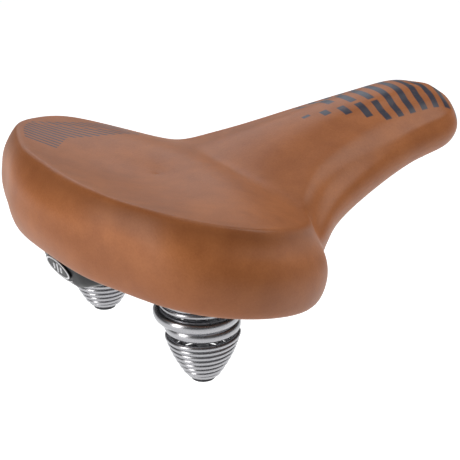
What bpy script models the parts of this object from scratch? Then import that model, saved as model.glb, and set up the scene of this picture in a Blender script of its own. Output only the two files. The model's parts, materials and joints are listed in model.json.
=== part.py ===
"""Sprung city bicycle saddle, as separate pieces, in metres.

+X points to the nose, +Y to the rider's left and +Z up. The origin is midway between the two rails, in
the middle of their clamp zone. The one-piece rail wire stays still; the seat hinges on its nose bend and
sinks at the rear on two pairs of conical springs.

Lengths below are millimetres, and MM turns them into metres when a mesh is made.
"""

import math

import bmesh
import bpy
import numpy as np

MM = 0.001
GAP = 0.3  # between touching pieces

# Rail wire
RAIL_WIRE = 7.0
RAIL_SPREAD = 44.0  # between the two rails' centre lines
CLAMP_HALF = 28.0  # half the straight clamp zone
NOSE_PIVOT_X, NOSE_PIVOT_Z = 96.0, 40.0  # middle of the nose bend

# Springs: both pairs stand on these axes
SPRING_X, SPRING_Y = -70.0, 51.5
LOOP_RADII = ((90, 23.0), (146, 22.0), (236, 20.6), (326, 16.7), (690, 16.7))  # degrees, radius
LOOP_DROP = 7.3  # from the upper turn of the loop down to the lower one
UPPER_WIRE, UPPER_TURNS, UPPER_PITCH = 3.1, 5.0, 3.7
UPPER_R, UPPER_FLARE = 20.7, 1.0  # lowest turn's radius, and what each turn adds
LOWER_WIRE, LOWER_TURNS, LOWER_PITCH = 3.0, 7.0, 3.15
LOWER_R_TOP, LOWER_R_END, LOWER_R_LAST = 18.3, 8.4, 5.6
LOWER_TOP_Z = -12.3

# Through bolts and what they carry
BOLT_R = 3.0
CAP_R, CAP_TOP_Z, CAP_BOTTOM_Z = 7.2, -36.8, -39.3
SEAT_PLATE_Z, SEAT_PLATE_T, SEAT_PLATE_R = 25.9, 1.4, 27.0
BOSS_R, BOSS_BOTTOM_Z, POCKET_FLOOR_Z = 26.0, 27.6, 31.0
NUT_AF = 10.0

# Saddle body: one row for each rib, from the tail's middle round the right side to the nose tip.
# outline x, half width, spine x, spine z, ridge inset, ridge z, ridge softness, hollow, skirt bottom z
STATIONS = np.array([
    (-136, 0, -46.5, 55.5, 12, 74, 0.9, 0.9, 29.5),
    (-132.5, 33, -46.2, 56, 10, 74.5, 0.9, 0.9, 27.5),
    (-123.5, 57, -45, 56.5, 8.5, 73, 0.9, 0.9, 25.5),
    (-112, 85, -43, 57.5, 11, 71.5, 0.9, 0.9, 24),
    (-93.5, 101, -39, 58.5, 11, 67, 0.9, 0.9, 20),
    (-66, 108, -34, 59, 8.5, 60.5, 1.1, 0.9, 14),
    (-36, 101, -30, 57.5, 12, 50.5, 1.5, 0.9, 7),
    (-16.5, 88, -25, 55.5, 13.5, 45, 2.5, 0.7, 7),
    (-9.5, 73.5, -16, 56.5, 13.5, 46.5, 4, 0.5, 12),
    (4, 62, -3, 59.5, 14, 52, 5.5, 0.3, 17.5),
    (20, 52.5, 16, 64.5, 14, 57, 6.5, 0.1, 24),
    (48, 43.5, 46, 70, 13, 62.5, 6.5, 0, 31),
    (83, 36, 82, 74, 11.5, 67, 6.5, 0, 38.5),
    (113, 32, 100, 74, 11, 69, 6.5, 0, 41),
    (127, 19.5, 106, 72, 12, 69.5, 6.5, 0, 41.5),
    (135, 0, 108, 71, 12, 70, 6.5, 0, 43),
], float)
RIBS_PER_STATION = 2
COVER_T = 1.5
BASE_T = 3.0
FOAM_AT_SPINE = 18.0  # foam over the base along the spine

# Rear bumper, badge and nose clip
BUMPER_FACE_X, BUMPER_FACE_Z, BUMPER_FACE_SLOPE = -124.1, 19.8, 2.75  # a point of the rear face, and its fall
BUMPER_BOTTOM_Z, BUMPER_TOP_Z, BUMPER_LEDGE_Z = 8.2, 28.8, 21.7
BUMPER_FRONT_X = -98.0
# distance from the middle, how far forward the face has curved there, how far the bottom has risen
BUMPER_SECTIONS = ((0, 0, 0), (11, 0, 1.2), (18, 1.5, 4), (24, 4, 6.8), (30, 7.5, 9.5), (34, 10.5, 11))
BADGE_LENGTH, BADGE_WIDTH, BADGE_T = 24.0, 13.0, 1.0
BUMPER_SCREW_X, BUMPER_SCREW_Y = -104.0, 15.0
CLIP_SCREW_X, CLIP_SCREW_Y = 101.0, 11.0


def clear_scene():
    for obj in list(bpy.data.objects):
        bpy.data.objects.remove(obj, do_unlink=True)


def finish_material(name, colour, roughness, metallic=0.0):
    material = bpy.data.materials.get(name) or bpy.data.materials.new(name)
    material.use_nodes = True
    shader = material.node_tree.nodes["Principled BSDF"]
    shader.inputs["Base Color"].default_value = (*colour, 1.0)
    shader.inputs["Roughness"].default_value = roughness
    shader.inputs["Metallic"].default_value = metallic
    return material


def vinyl(name):
    return finish_material(name + "_vinyl", (0.37, 0.15, 0.06), 0.5)


def foam(name):
    return finish_material(name + "_foam", (0.62, 0.55, 0.40), 0.95)


def black_plastic(name):
    return finish_material(name + "_plastic", (0.025, 0.025, 0.028), 0.45)


def chrome(name):
    return finish_material(name + "_chrome", (0.78, 0.78, 0.80), 0.12, 1.0)


def zinc(name):
    return finish_material(name + "_zinc", (0.55, 0.56, 0.58), 0.35, 1.0)


def white_print(name):
    return finish_material(name + "_print", (0.75, 0.75, 0.77), 0.4)


def add_object(name, mesh, material):
    obj = bpy.data.objects.new(name, mesh)
    bpy.context.scene.collection.objects.link(obj)
    mesh.materials.append(material)
    return obj


def mesh_from_bmesh(name, bm, smooth_degrees=40):
    bmesh.ops.remove_doubles(bm, verts=bm.verts, dist=1e-6)
    bmesh.ops.recalc_face_normals(bm, faces=bm.faces)
    mesh = bpy.data.meshes.new(name)
    bm.to_mesh(mesh)
    bm.free()
    mesh.shade_smooth()
    mesh.set_sharp_from_angle(angle=math.radians(smooth_degrees))
    return mesh


def turned(name, profile, centre, material, segments=32):
    """A solid turned about a vertical axis from a closed profile of (radius, z)."""
    bm = bmesh.new()
    verts = [bm.verts.new((r * MM, 0, z * MM)) for r, z in profile]
    edges = [bm.edges.new((a, b)) for a, b in zip(verts, verts[1:] + verts[:1])]
    bmesh.ops.spin(bm, geom=verts + edges, cent=(0, 0, 0), axis=(0, 0, 1), angle=math.tau,
                   steps=segments, use_merge=True)
    bmesh.ops.dissolve_degenerate(bm, dist=1e-6, edges=bm.edges)
    obj = add_object(name, mesh_from_bmesh(name, bm), material)
    obj.location = (centre[0] * MM, centre[1] * MM, 0)
    return obj


def prism(name, outline, z_low, z_high, centre, material):
    """A vertical prism on an (x, y) outline."""
    bm = bmesh.new()
    face = bm.faces.new([bm.verts.new((x * MM, y * MM, z_low * MM)) for x, y in outline])
    top = bmesh.ops.extrude_face_region(bm, geom=[face])["geom"]
    bmesh.ops.translate(bm, vec=(0, 0, (z_high - z_low) * MM),
                        verts=[v for v in top if isinstance(v, bmesh.types.BMVert)])
    obj = add_object(name, mesh_from_bmesh(name, bm), material)
    obj.location = (centre[0] * MM, centre[1] * MM, 0)
    return obj


def circle_outline(radius, count, start=0.0):
    angles = [start + math.tau * k / count for k in range(count)]
    return [(radius * math.cos(a), radius * math.sin(a)) for a in angles]


def wire(name, points, diameter, material, flat_side_down=False, resolution=2):
    """A round wire along a line of points, with filled ends."""
    curve = bpy.data.curves.new(name, "CURVE")
    curve.dimensions = "3D"
    curve.twist_mode = "Z_UP"
    curve.bevel_depth = diameter / 2 * MM
    curve.bevel_resolution = resolution
    curve.use_fill_caps = True
    spline = curve.splines.new("POLY")
    spline.points.add(len(points) - 1)
    sides = 4 + 2 * resolution
    for point, place in zip(spline.points, points):
        point.co = (*(c * MM for c in place), 1)
        point.tilt = math.pi / sides if flat_side_down else 0.0
    obj = bpy.data.objects.new(name, curve)
    bpy.context.scene.collection.objects.link(obj)
    curve.materials.append(material)
    return obj


def subtract(obj, cutter):
    modify(obj, cutter, "DIFFERENCE")


def unite(obj, other):
    modify(obj, other, "UNION")


def modify(obj, tool, operation):
    boolean = obj.modifiers.new(tool.name, "BOOLEAN")
    boolean.object = tool
    boolean.operation = operation
    boolean.solver = "EXACT"
    tool.hide_render = True
    tool.display_type = "WIRE"


# ---- the saddle body's surfaces -------------------------------------------------------------------


def catmull_rom(rows, place):
    """The row at a place between stations; rows beyond the two ends mirror to the other side."""

    def row(k):
        if 0 <= k < len(rows):
            return rows[k]
        mirrored = rows[-k if k < 0 else 2 * (len(rows) - 1) - k].copy()
        mirrored[1] *= -1
        return mirrored

    k = min(int(place), len(rows) - 2)
    u = place - k
    a, b, c, d = (row(k + i) for i in (-1, 0, 1, 2))
    return 0.5 * (2 * b + (c - a) * u + (2 * a - 5 * b + 4 * c - d) * u**2 + (3 * b - a - 3 * c + d) * u**3)


def b_spline(controls, place):
    """A point of the uniform cubic B-spline on these controls."""
    k = min(int(place), len(controls) - 4)
    u = place - k
    weights = ((1 - u)**3, 3 * u**3 - 6 * u**2 + 4, 3 * u + 3 * u**2 - 3 * u**3 + 1, u**3)
    return sum(w * controls[k + i] for i, w in enumerate(weights)) / 6


def offset_inwards(controls, depth):
    """The same controls moved towards the inside of the body, the first one mirrored at the spine."""
    along = np.gradient(controls, axis=0)
    normal = np.stack([-along[:, 1], along[:, 0]], 1)
    moved = controls + depth * normal / np.linalg.norm(normal, axis=1)[:, None]
    moved[0] = (2 * controls[1, 0] - moved[2, 0], moved[2, 1])
    return moved


def rib_length(row):
    return math.hypot(row[0] - row[2], row[1])


def cover_controls(row):
    """Inset from the outline and height, from the spine over the ridge and down the skirt to its lip."""
    _, _, _, spine_z, inset, ridge_z, soft, hollow, bottom_z = row
    length = rib_length(row)
    top = length - inset
    rise = ridge_z - spine_z
    drop = ridge_z - bottom_z
    return np.array([
        (length + 0.4 * top, spine_z + 0.05 * rise),
        (length, spine_z),
        (length - 0.4 * top, spine_z + 0.05 * rise),
        (inset + (0.3 + 0.035 * soft) * top, spine_z + 0.45 * rise),
        (inset + min(soft + 3, 0.38 * top), spine_z + 0.95 * rise - 0.3),
        (inset + 0.25 * soft, ridge_z + 0.4),
        (inset - 0.6 * soft - 0.6, ridge_z - 1.4 - 0.6 * soft),
        (inset - 5 + hollow, ridge_z - 0.16 * drop),
        (5.5 - 0.5 * hollow, ridge_z - 0.32 * drop),
        (0.2, ridge_z - 0.47 * drop),
        (-1.4, ridge_z - 0.68 * drop),
        (2.0, bottom_z + 2),
        (6.0, bottom_z - 1),
        (11.0, bottom_z + 1),
        (16.0, bottom_z + 3),
    ])


def base_controls(row):
    """The base shell's outer side, under the foam, from the spine to its rim."""
    _, _, _, spine_z, _, ridge_z, _, _, bottom_z = row
    length = rib_length(row)
    top_z = spine_z - FOAM_AT_SPINE
    side_z = (ridge_z + bottom_z) / 2
    return np.array([
        (length + 0.4 * (length - 24), top_z),
        (length, top_z),
        (length - 0.4 * (length - 24), top_z),
        (24 + 0.3 * (length - 24), (top_z + 2 * side_z) / 3),
        (17, side_z),
        (10, side_z - 1.5),
        (7, side_z - 6),
        (6.5, (side_z + bottom_z) / 2),
        (6.5, bottom_z + 8),
        (6.5, bottom_z + 4.6),
        (6.5, bottom_z + 1.2),
    ])


def body_grid(controls_of, depth, places):
    """Points of one surface: a rib for each column round the outline, a place for each row."""
    last = len(STATIONS) - 1
    right = [catmull_rom(STATIONS, k / RIBS_PER_STATION) for k in range(last * RIBS_PER_STATION + 1)]
    columns = []
    for row in right:
        controls = offset_inwards(controls_of(row), depth)
        x, half, spine_x = row[:3]
        inward_x, inward_w = (spine_x - x) / rib_length(row), -half / rib_length(row)
        column = []
        for place in places:
            inset, z = b_spline(controls, place)
            column.append((x + inward_x * inset, -(half + inward_w * inset), z))
        columns.append(column)
    left = [[(x, -y, z) for x, y, z in column] for column in columns[-2:0:-1]]
    return columns + left


def body_layer(name, outer, inner, material):
    """A closed layer between two grids, joined along their rims."""
    bm = bmesh.new()
    columns = [
        [bm.verts.new([c * MM for c in p]) for p in out + into[::-1]] for out, into in zip(outer, inner)
    ]
    for this, following in zip(columns, columns[1:] + columns[:1]):
        for a, b, c, d in zip(this, following, following[1:], this[1:]):
            bm.faces.new((a, b, c, d))
    bmesh.ops.remove_doubles(bm, verts=bm.verts, dist=1e-6)
    bmesh.ops.triangulate(bm, faces=bm.faces)
    return add_object(name, mesh_from_bmesh(name, bm, 60), material)


COVER_PLACES = (0, 1, 2, 3, 3.5, 3.9, 4.3, 5, 6, 7, 8, 9, 9.6, 10.2, 11, 12)
FOAM_PLACES = (0, 1, 2, 3, 3.5, 3.9, 4.3, 5, 6, 7, 8, 9)
BASE_PLACES = (0, 1, 2, 3, 3.7, 4.4, 5.2, 6, 7, 8)


def make_cover():
    outer = body_grid(cover_controls, 0, COVER_PLACES)
    inner = body_grid(cover_controls, COVER_T, COVER_PLACES)
    return body_layer("cover", outer, inner, vinyl("cover"))


def make_padding():
    outer = body_grid(cover_controls, COVER_T + GAP, FOAM_PLACES)
    inner = body_grid(base_controls, -GAP, BASE_PLACES)
    return body_layer("padding", outer, inner, foam("padding"))


def make_base():
    outer = body_grid(base_controls, 0, BASE_PLACES)
    inner = body_grid(base_controls, BASE_T, BASE_PLACES)
    base = body_layer("base_shell", outer, inner, black_plastic("base_shell"))
    for side in (-1, 1):
        name = f"base_tool_{'left' if side > 0 else 'right'}_"
        axis = (SPRING_X, side * SPRING_Y)
        boss = prism(name + "boss", circle_outline(BOSS_R, 28), BOSS_BOTTOM_Z, 36.0, axis, base.active_material)
        neck = prism(name + "neck", circle_outline(12.0, 20), 34, 39.3, axis, base.active_material)
        pocket = prism(name + "pocket", circle_outline(8.0, 18), POCKET_FLOOR_Z, 48, axis, base.active_material)
        bore = prism(name + "bore", circle_outline(BOLT_R + GAP, 18), 20, 48, axis, base.active_material)
        screw_at = (BUMPER_SCREW_X, side * BUMPER_SCREW_Y)
        post = prism(name + "post", circle_outline(4.5, 14), 22, 47.2, screw_at, base.active_material)
        post_bore = prism(name + "post_bore", circle_outline(1.9, 12), 20, 32, screw_at, base.active_material)
        unite(base, boss)
        unite(base, neck)
        unite(base, post)
        subtract(base, pocket)
        subtract(base, bore)
        subtract(base, post_bore)
    add_nose_socket(base)
    return base


def add_nose_socket(base):
    """A block under the nose with a channel that the rail's nose bend lies in from below."""
    block = [(85, -17.5), (112, -17.5), (112, 17.5), (85, 17.5)]
    socket = prism("base_tool_socket", block, NOSE_PIVOT_Z - RAIL_WIRE / 2, 52.6, (0, 0), base.active_material)
    ridge = prism("base_tool_ridge", [(85, -8), (105.5, -8), (105.5, 8), (85, 8)], 48, 53.8, (0, 0),
                  base.active_material)
    mouth = prism("base_tool_mouth", [(78, -16.4), (101, -16.4), (101, 16.4), (78, 16.4)], 26.0,
                  NOSE_PIVOT_Z, (0, 0), base.active_material)
    unite(base, socket)
    unite(base, ridge)
    for degrees in (0, 2, 4.3):
        channel = wire(f"base_tool_channel_{degrees}", [sunk(p, degrees) for p in nose_bend()],
                       RAIL_WIRE + 2 * GAP, base.active_material)
        subtract(base, curve_as_mesh(channel))
    subtract(base, mouth)
    for side in (-1, 1):
        bore = prism(f"base_tool_clip_bore_{side}", circle_outline(1.9, 12), 26, 50.5,
                     (CLIP_SCREW_X + 6, side * CLIP_SCREW_Y), base.active_material)
        subtract(base, bore)


def sunk(point, degrees):
    """Where a point of the rail lies from the seat once the seat has sunk this far about its pivot."""
    a = math.radians(degrees)
    ahead, up = point[0] - NOSE_PIVOT_X, point[2] - NOSE_PIVOT_Z
    return (NOSE_PIVOT_X + ahead * math.cos(a) + up * math.sin(a), point[1],
            NOSE_PIVOT_Z - ahead * math.sin(a) + up * math.cos(a))


def curve_as_mesh(obj):
    """A mesh object in place of a curve object, as a Boolean needs."""
    mesh = bpy.data.meshes.new_from_object(obj)
    made = bpy.data.objects.new(obj.name + "_mesh", mesh)
    bpy.context.scene.collection.objects.link(made)
    bpy.data.objects.remove(obj, do_unlink=True)
    return made


# ---- rail and springs -----------------------------------------------------------------------------


def loop_radius(degrees):
    return float(np.interp(degrees, *zip(*LOOP_RADII)))


def loop_height(degrees):
    share = min(max((degrees - 330) / 150, 0), 1)
    return -LOOP_DROP * share * share * (3 - 2 * share)


def loop_turns():
    """The right loop, from the rail's arrival on its inner side to its lower end."""
    points = []
    for degrees in range(90, 691, 15):
        a, r = math.radians(degrees), loop_radius(degrees)
        points.append((SPRING_X + r * math.cos(a), -SPRING_Y + r * math.sin(a), loop_height(degrees)))
    return points


def nose_bend():
    """The bend at the front of the rail, from right to left, with the run into it on each side."""
    half, reach = 12.0, 16.0
    points = [(NOSE_PIVOT_X - reach - 14, -half - 1.5, NOSE_PIVOT_Z - 4.0),
              (NOSE_PIVOT_X - reach, -half, NOSE_PIVOT_Z)]
    for k in range(9):
        a = math.radians(-90 + 22.5 * k)
        points.append((NOSE_PIVOT_X - half + half * math.cos(a), half * math.sin(a), NOSE_PIVOT_Z))
    left = [(x, -y, z) for x, y, z in points[1::-1]]
    return points + left


def rail_path():
    """The whole wire: right loop's end, right rail, nose bend, and the same mirrored to the left."""
    spread = RAIL_SPREAD / 2
    run = [
        (-54, -27.6, 0.0),
        (-42, -24.2, 0.0),
        (-34, -22.5, 0.0),
        (-CLAMP_HALF, -spread, 0.0),
        (0.0, -spread, 0.0),
        (CLAMP_HALF - 8, -spread, 0.0),
        (26, -21.7, 1.4),
        (32, -20.8, 6.0),
        (40, -19.3, 14.0),
        (48, -17.7, 22.0),
        (56, -15.9, 29.4),
    ]
    right = loop_turns()[::-1] + run + nose_bend()[:2]
    bend = nose_bend()[2:-2]
    left = [(x, -y, z) for x, y, z in right[::-1]]
    return right + bend + left


def make_rail():
    return wire("rail", rail_path(), RAIL_WIRE, chrome("rail"), flat_side_down=True)


def helix(axis, turns, steps, radius_of, height_of, start_degrees=0.0):
    points = []
    for k in range(int(turns * steps) + 1):
        share = k / steps
        a = math.radians(start_degrees) + math.tau * share
        r = radius_of(share)
        points.append((axis[0] + r * math.cos(a), axis[1] + r * math.sin(a), height_of(share)))
    return points


def make_upper_spring(name, axis):
    """The flaring spring between the rail loop and the base."""
    low = RAIL_WIRE / 2 + UPPER_WIRE / 2 + GAP
    points = helix(axis, UPPER_TURNS, 14, lambda t: UPPER_R + UPPER_FLARE * t,
                   lambda t: low + UPPER_PITCH * t, 150)
    return wire(name, points, UPPER_WIRE, chrome("upper_spring"), resolution=1)


def lower_radius(share):
    """Radius of the lower cone; the turns are counted from its narrow end."""
    if share < 0.75:
        return LOWER_R_LAST + (LOWER_R_END - LOWER_R_LAST) * share / 0.75
    return LOWER_R_END + (LOWER_R_TOP - LOWER_R_END) * (share - 0.75) / LOWER_TURNS


def lower_height(share):
    end_z = LOWER_TOP_Z - LOWER_TURNS * LOWER_PITCH
    if share < 0.75:
        return end_z - 0.6 * (0.75 - share) / 0.75
    return end_z + LOWER_PITCH * (share - 0.75)


def make_lower_spring(name, axis):
    """The narrowing rebound spring between the rail loop and the bottom cap."""
    points = helix(axis, LOWER_TURNS + 0.75, 14, lower_radius, lower_height, 200)
    return wire(name, points, LOWER_WIRE, chrome("lower_spring"), resolution=1)


# ---- fasteners and small pieces -------------------------------------------------------------------


def make_spring_set(side):
    """Everything on one spring axis."""
    end = "left" if side > 0 else "right"
    axis = (SPRING_X, side * SPRING_Y)
    make_upper_spring("upper_spring_" + end, axis)
    make_lower_spring("lower_spring_" + end, axis)
    bore = BOLT_R + GAP
    plate_low, plate_high = SEAT_PLATE_Z - 0.1, SEAT_PLATE_Z + SEAT_PLATE_T - 0.1
    turned("spring_seat_" + end,
           [(bore, plate_low), (SEAT_PLATE_R, plate_low), (SEAT_PLATE_R, plate_high), (bore, plate_high)],
           axis, zinc("spring_seat"), 28)
    shoulder = CAP_BOTTOM_Z + 1.3
    turned("bottom_cap_" + end,
           [(bore, CAP_TOP_Z), (bore, shoulder), (5.4, shoulder), (5.4, CAP_BOTTOM_Z),
            (CAP_R - 0.8, CAP_BOTTOM_Z), (CAP_R, CAP_BOTTOM_Z + 0.8), (CAP_R, CAP_TOP_Z)],
           axis, black_plastic("bottom_cap"), 24)
    nut_low = POCKET_FLOOR_Z + GAP + 1.0 + GAP
    turned("spring_bolt_" + end,
           [(0, CAP_BOTTOM_Z + 0.1), (5.1, CAP_BOTTOM_Z + 0.1), (5.1, shoulder - GAP), (BOLT_R, shoulder - GAP),
            (BOLT_R, nut_low + 4.6), (0, nut_low + 4.6)],
           axis, zinc("spring_bolt"), 18)
    turned("top_washer_" + end,
           [(bore, POCKET_FLOOR_Z + GAP), (6.8, POCKET_FLOOR_Z + GAP), (6.8, POCKET_FLOOR_Z + GAP + 1),
            (bore, POCKET_FLOOR_Z + GAP + 1)],
           axis, zinc("top_washer"), 18)
    nut = prism("lock_nut_" + end, circle_outline(NUT_AF / math.sqrt(3), 6), nut_low, nut_low + 4.0, axis,
                zinc("lock_nut"))
    hole = prism(f"nut_tool_{end}", circle_outline(bore, 18), 20, 48, axis, nut.active_material)
    subtract(nut, hole)


def face_x(z):
    """Where the bumper's rear face is at a height, in the middle."""
    return BUMPER_FACE_X - (z - BUMPER_FACE_Z) / BUMPER_FACE_SLOPE


def bumper_ring(y, forward, rise):
    """The bumper's closed outline across at one distance from the middle, from its top edge round."""
    top = BUMPER_TOP_Z - 0.06 * abs(y)
    low = BUMPER_BOTTOM_Z + rise
    knee = low + 4
    knee_x = face_x(knee) + forward
    outline = [(face_x(top) + forward, top), (knee_x, knee), (knee_x + 2.5, low + 1.1), (knee_x + 8, low),
               (BUMPER_FRONT_X, low), (BUMPER_FRONT_X, BUMPER_LEDGE_Z), (-111, BUMPER_LEDGE_Z), (-112, top)]
    return [(x, y, z) for x, z in outline]


def make_bumper():
    """The curved tail piece under the skirt, with a steep flat face for the badge."""
    right = [bumper_ring(-y, forward, rise) for y, forward, rise in BUMPER_SECTIONS[::-1]]
    left = [bumper_ring(y, forward, rise) for y, forward, rise in BUMPER_SECTIONS[1:]]
    bm = bmesh.new()
    rings = [[bm.verts.new([c * MM for c in p]) for p in ring] for ring in right + left]
    bm.faces.new(rings[0])
    bm.faces.new(rings[-1][::-1])
    for this, following in zip(rings, rings[1:]):
        for a, b, c, d in zip(this, following, following[1:] + following[:1], this[1:] + this[:1]):
            bm.faces.new((a, b, c, d))
    bmesh.ops.triangulate(bm, faces=bm.faces)
    bumper = add_object("rear_bumper", mesh_from_bmesh("rear_bumper", bm), black_plastic("rear_bumper"))
    for side in (-1, 1):
        place = (BUMPER_SCREW_X, side * BUMPER_SCREW_Y)
        for part, radius, top in (("bore", 1.9, 40), ("sink", 3.8, 14)):
            tool = prism(f"bumper_tool_{part}_{side}", circle_outline(radius, 14), 0, top, place,
                         bumper.active_material)
            subtract(bumper, tool)
    return bumper


def make_screw(name, place, head_z, tip_z, head_r=3.4, head_h=2.0):
    """A pan-head screw driven upwards."""
    return turned(name,
                  [(0, head_z), (head_r - 0.6, head_z), (head_r, head_z + 0.6), (head_r, head_z + head_h),
                   (1.6, head_z + head_h), (1.6, tip_z), (0, tip_z)],
                  place, zinc("screw"), 14)


def make_badge():
    """An oval plate on the bumper's rear face."""
    slope = math.atan(BUMPER_FACE_SLOPE)
    outline = [(BADGE_WIDTH / 2 * math.cos(a), BADGE_LENGTH / 2 * math.sin(a))
               for a in (math.tau * k / 36 for k in range(36))]
    badge = prism("badge", outline, GAP, GAP + BADGE_T, (0, 0), white_print("badge"))
    badge.rotation_euler = (0, math.pi + slope, 0)
    badge.location = (BUMPER_FACE_X * MM, 0, BUMPER_FACE_Z * MM)
    return badge


def make_nose_clip():
    """The plate that closes the nose socket from below and carries the rail's bend."""
    outline = [(86, -16), (110, -16), (112, -14), (112, 14), (110, 16), (86, 16)]
    top = NOSE_PIVOT_Z - RAIL_WIRE / 2 - GAP
    clip = prism("nose_clip", outline, top - 2.7, top, (0, 0), zinc("nose_clip"))
    for side in (-1, 1):
        place = (CLIP_SCREW_X + 6, side * CLIP_SCREW_Y)
        hole = prism(f"clip_tool_{side}", circle_outline(1.9, 14), 20, 40, place, clip.active_material)
        subtract(clip, hole)
    return clip


def build():
    clear_scene()
    make_cover()
    make_padding()
    make_base()
    make_rail()
    for side in (-1, 1):
        make_spring_set(side)
    make_bumper()
    make_badge()
    make_nose_clip()
    for side, end in ((-1, "right"), (1, "left")):
        make_screw("bumper_screw_" + end, (BUMPER_SCREW_X, side * BUMPER_SCREW_Y), 11.7, 31.0)
        make_screw("clip_screw_" + end, (CLIP_SCREW_X + 6, side * CLIP_SCREW_Y), 31.2, 49.0)


build()
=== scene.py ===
"""The finished look of a sprung city saddle: moulded vinyl cover, chromed rail and springs, tail piece and badge.

Lengths are millimetres in the model's own frame, and MM turns them into metres when a mesh is made.
"""

import json
import math

import bpy
import numpy as np
from mathutils import Matrix, Vector


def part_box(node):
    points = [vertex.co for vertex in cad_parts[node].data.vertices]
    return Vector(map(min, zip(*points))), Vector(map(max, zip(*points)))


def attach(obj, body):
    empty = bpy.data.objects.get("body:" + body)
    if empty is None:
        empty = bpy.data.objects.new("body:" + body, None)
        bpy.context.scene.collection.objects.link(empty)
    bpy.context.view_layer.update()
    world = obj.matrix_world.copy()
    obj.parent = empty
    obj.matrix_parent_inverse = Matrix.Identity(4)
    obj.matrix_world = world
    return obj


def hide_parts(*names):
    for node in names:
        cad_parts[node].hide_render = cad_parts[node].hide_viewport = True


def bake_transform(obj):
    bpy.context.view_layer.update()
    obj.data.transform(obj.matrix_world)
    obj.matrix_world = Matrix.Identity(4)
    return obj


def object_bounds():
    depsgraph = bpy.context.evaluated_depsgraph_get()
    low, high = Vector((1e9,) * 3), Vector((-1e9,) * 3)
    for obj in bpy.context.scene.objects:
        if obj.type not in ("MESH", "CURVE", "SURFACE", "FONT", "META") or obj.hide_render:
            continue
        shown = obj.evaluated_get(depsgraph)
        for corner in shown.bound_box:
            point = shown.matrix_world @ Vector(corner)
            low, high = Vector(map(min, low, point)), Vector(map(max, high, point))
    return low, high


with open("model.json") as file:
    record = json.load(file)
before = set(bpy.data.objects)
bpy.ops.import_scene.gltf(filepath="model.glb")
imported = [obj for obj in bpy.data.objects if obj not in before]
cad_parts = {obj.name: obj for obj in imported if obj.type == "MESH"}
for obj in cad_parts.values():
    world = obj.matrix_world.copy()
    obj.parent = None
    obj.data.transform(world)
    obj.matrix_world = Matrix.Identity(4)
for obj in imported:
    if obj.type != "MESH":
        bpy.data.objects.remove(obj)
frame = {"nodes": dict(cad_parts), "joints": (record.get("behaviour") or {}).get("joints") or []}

bl_info = {
    "name": "Sprung City Saddle",
    "version": (1, 0, 0),
    "blender": (4, 5, 0),
    "location": "3D View > Sidebar > Saddle",
    "description": "Models the pieces and finishes of a sprung city saddle",
    "category": "Object",
}

MM = 0.001
GAP = 0.3
TIP_LENGTH, TIP_WIDTH = 0.12, 0.72  # a cut wire's rounded tip, as shares of the wire's diameter
CAD_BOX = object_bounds()

SPRING_LOW, SPRING_HIGH = (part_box("spring_bolt_right")[k] / MM for k in (0, 1))
SPRING_X = (SPRING_LOW.x + SPRING_HIGH.x) / 2
SPRING_Y = -(SPRING_LOW.y + SPRING_HIGH.y) / 2
SIDES = ((-1, "right"), (1, "left"))

# The body: outline x, half width, spine x, spine z, ridge inset, ridge z, ridge softness, hollow, skirt bottom z,
# one row for each rib from the tail's middle round one side to the nose tip
STATIONS = np.array([
    (-136, 0, -46.5, 55.5, 12, 74, 0.9, 1.6, 29.5),
    (-132.5, 33, -46.2, 56, 10, 74.5, 0.9, 1.8, 27.5),
    (-123.5, 57, -45, 56.5, 8.5, 73, 0.9, 2.0, 25.5),
    (-112, 85, -43, 57.5, 11, 71.5, 0.9, 1.8, 24),
    (-93.5, 101, -39, 58.5, 11, 67, 0.9, 1.2, 20),
    (-66, 108, -34, 59, 8.5, 60.5, 1.1, 0.9, 14),
    (-36, 101, -30, 57.5, 12, 50.5, 1.5, 0.9, 7),
    (-16.5, 88, -25, 55.5, 13.5, 45, 2.5, 0.7, 7),
    (-9.5, 73.5, -16, 56.5, 13.5, 46.5, 4, 0.5, 12),
    (4, 62, -3, 59.5, 14, 52, 5.5, 0.3, 17.5),
    (20, 52.5, 16, 64.5, 14, 57, 6.5, 0.1, 24),
    (48, 43.5, 46, 70, 13, 62.5, 6.5, 0, 31),
    (83, 36, 82, 74, 11.5, 67, 6.5, 0, 38.5),
    (113, 32, 100, 74, 11, 69, 6.5, 0, 41),
    (127, 19.5, 106, 72, 12, 69.5, 6.5, 0, 41.5),
    (135, 0, 108, 71, 12, 70, 6.5, 0, 43),
], float)
RIBS_PER_STATION = 10
COVER_T = 1.5
FOAM_AT_SPINE = 18.0


# ---- finishes -------------------------------------------------------------------------------------


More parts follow.
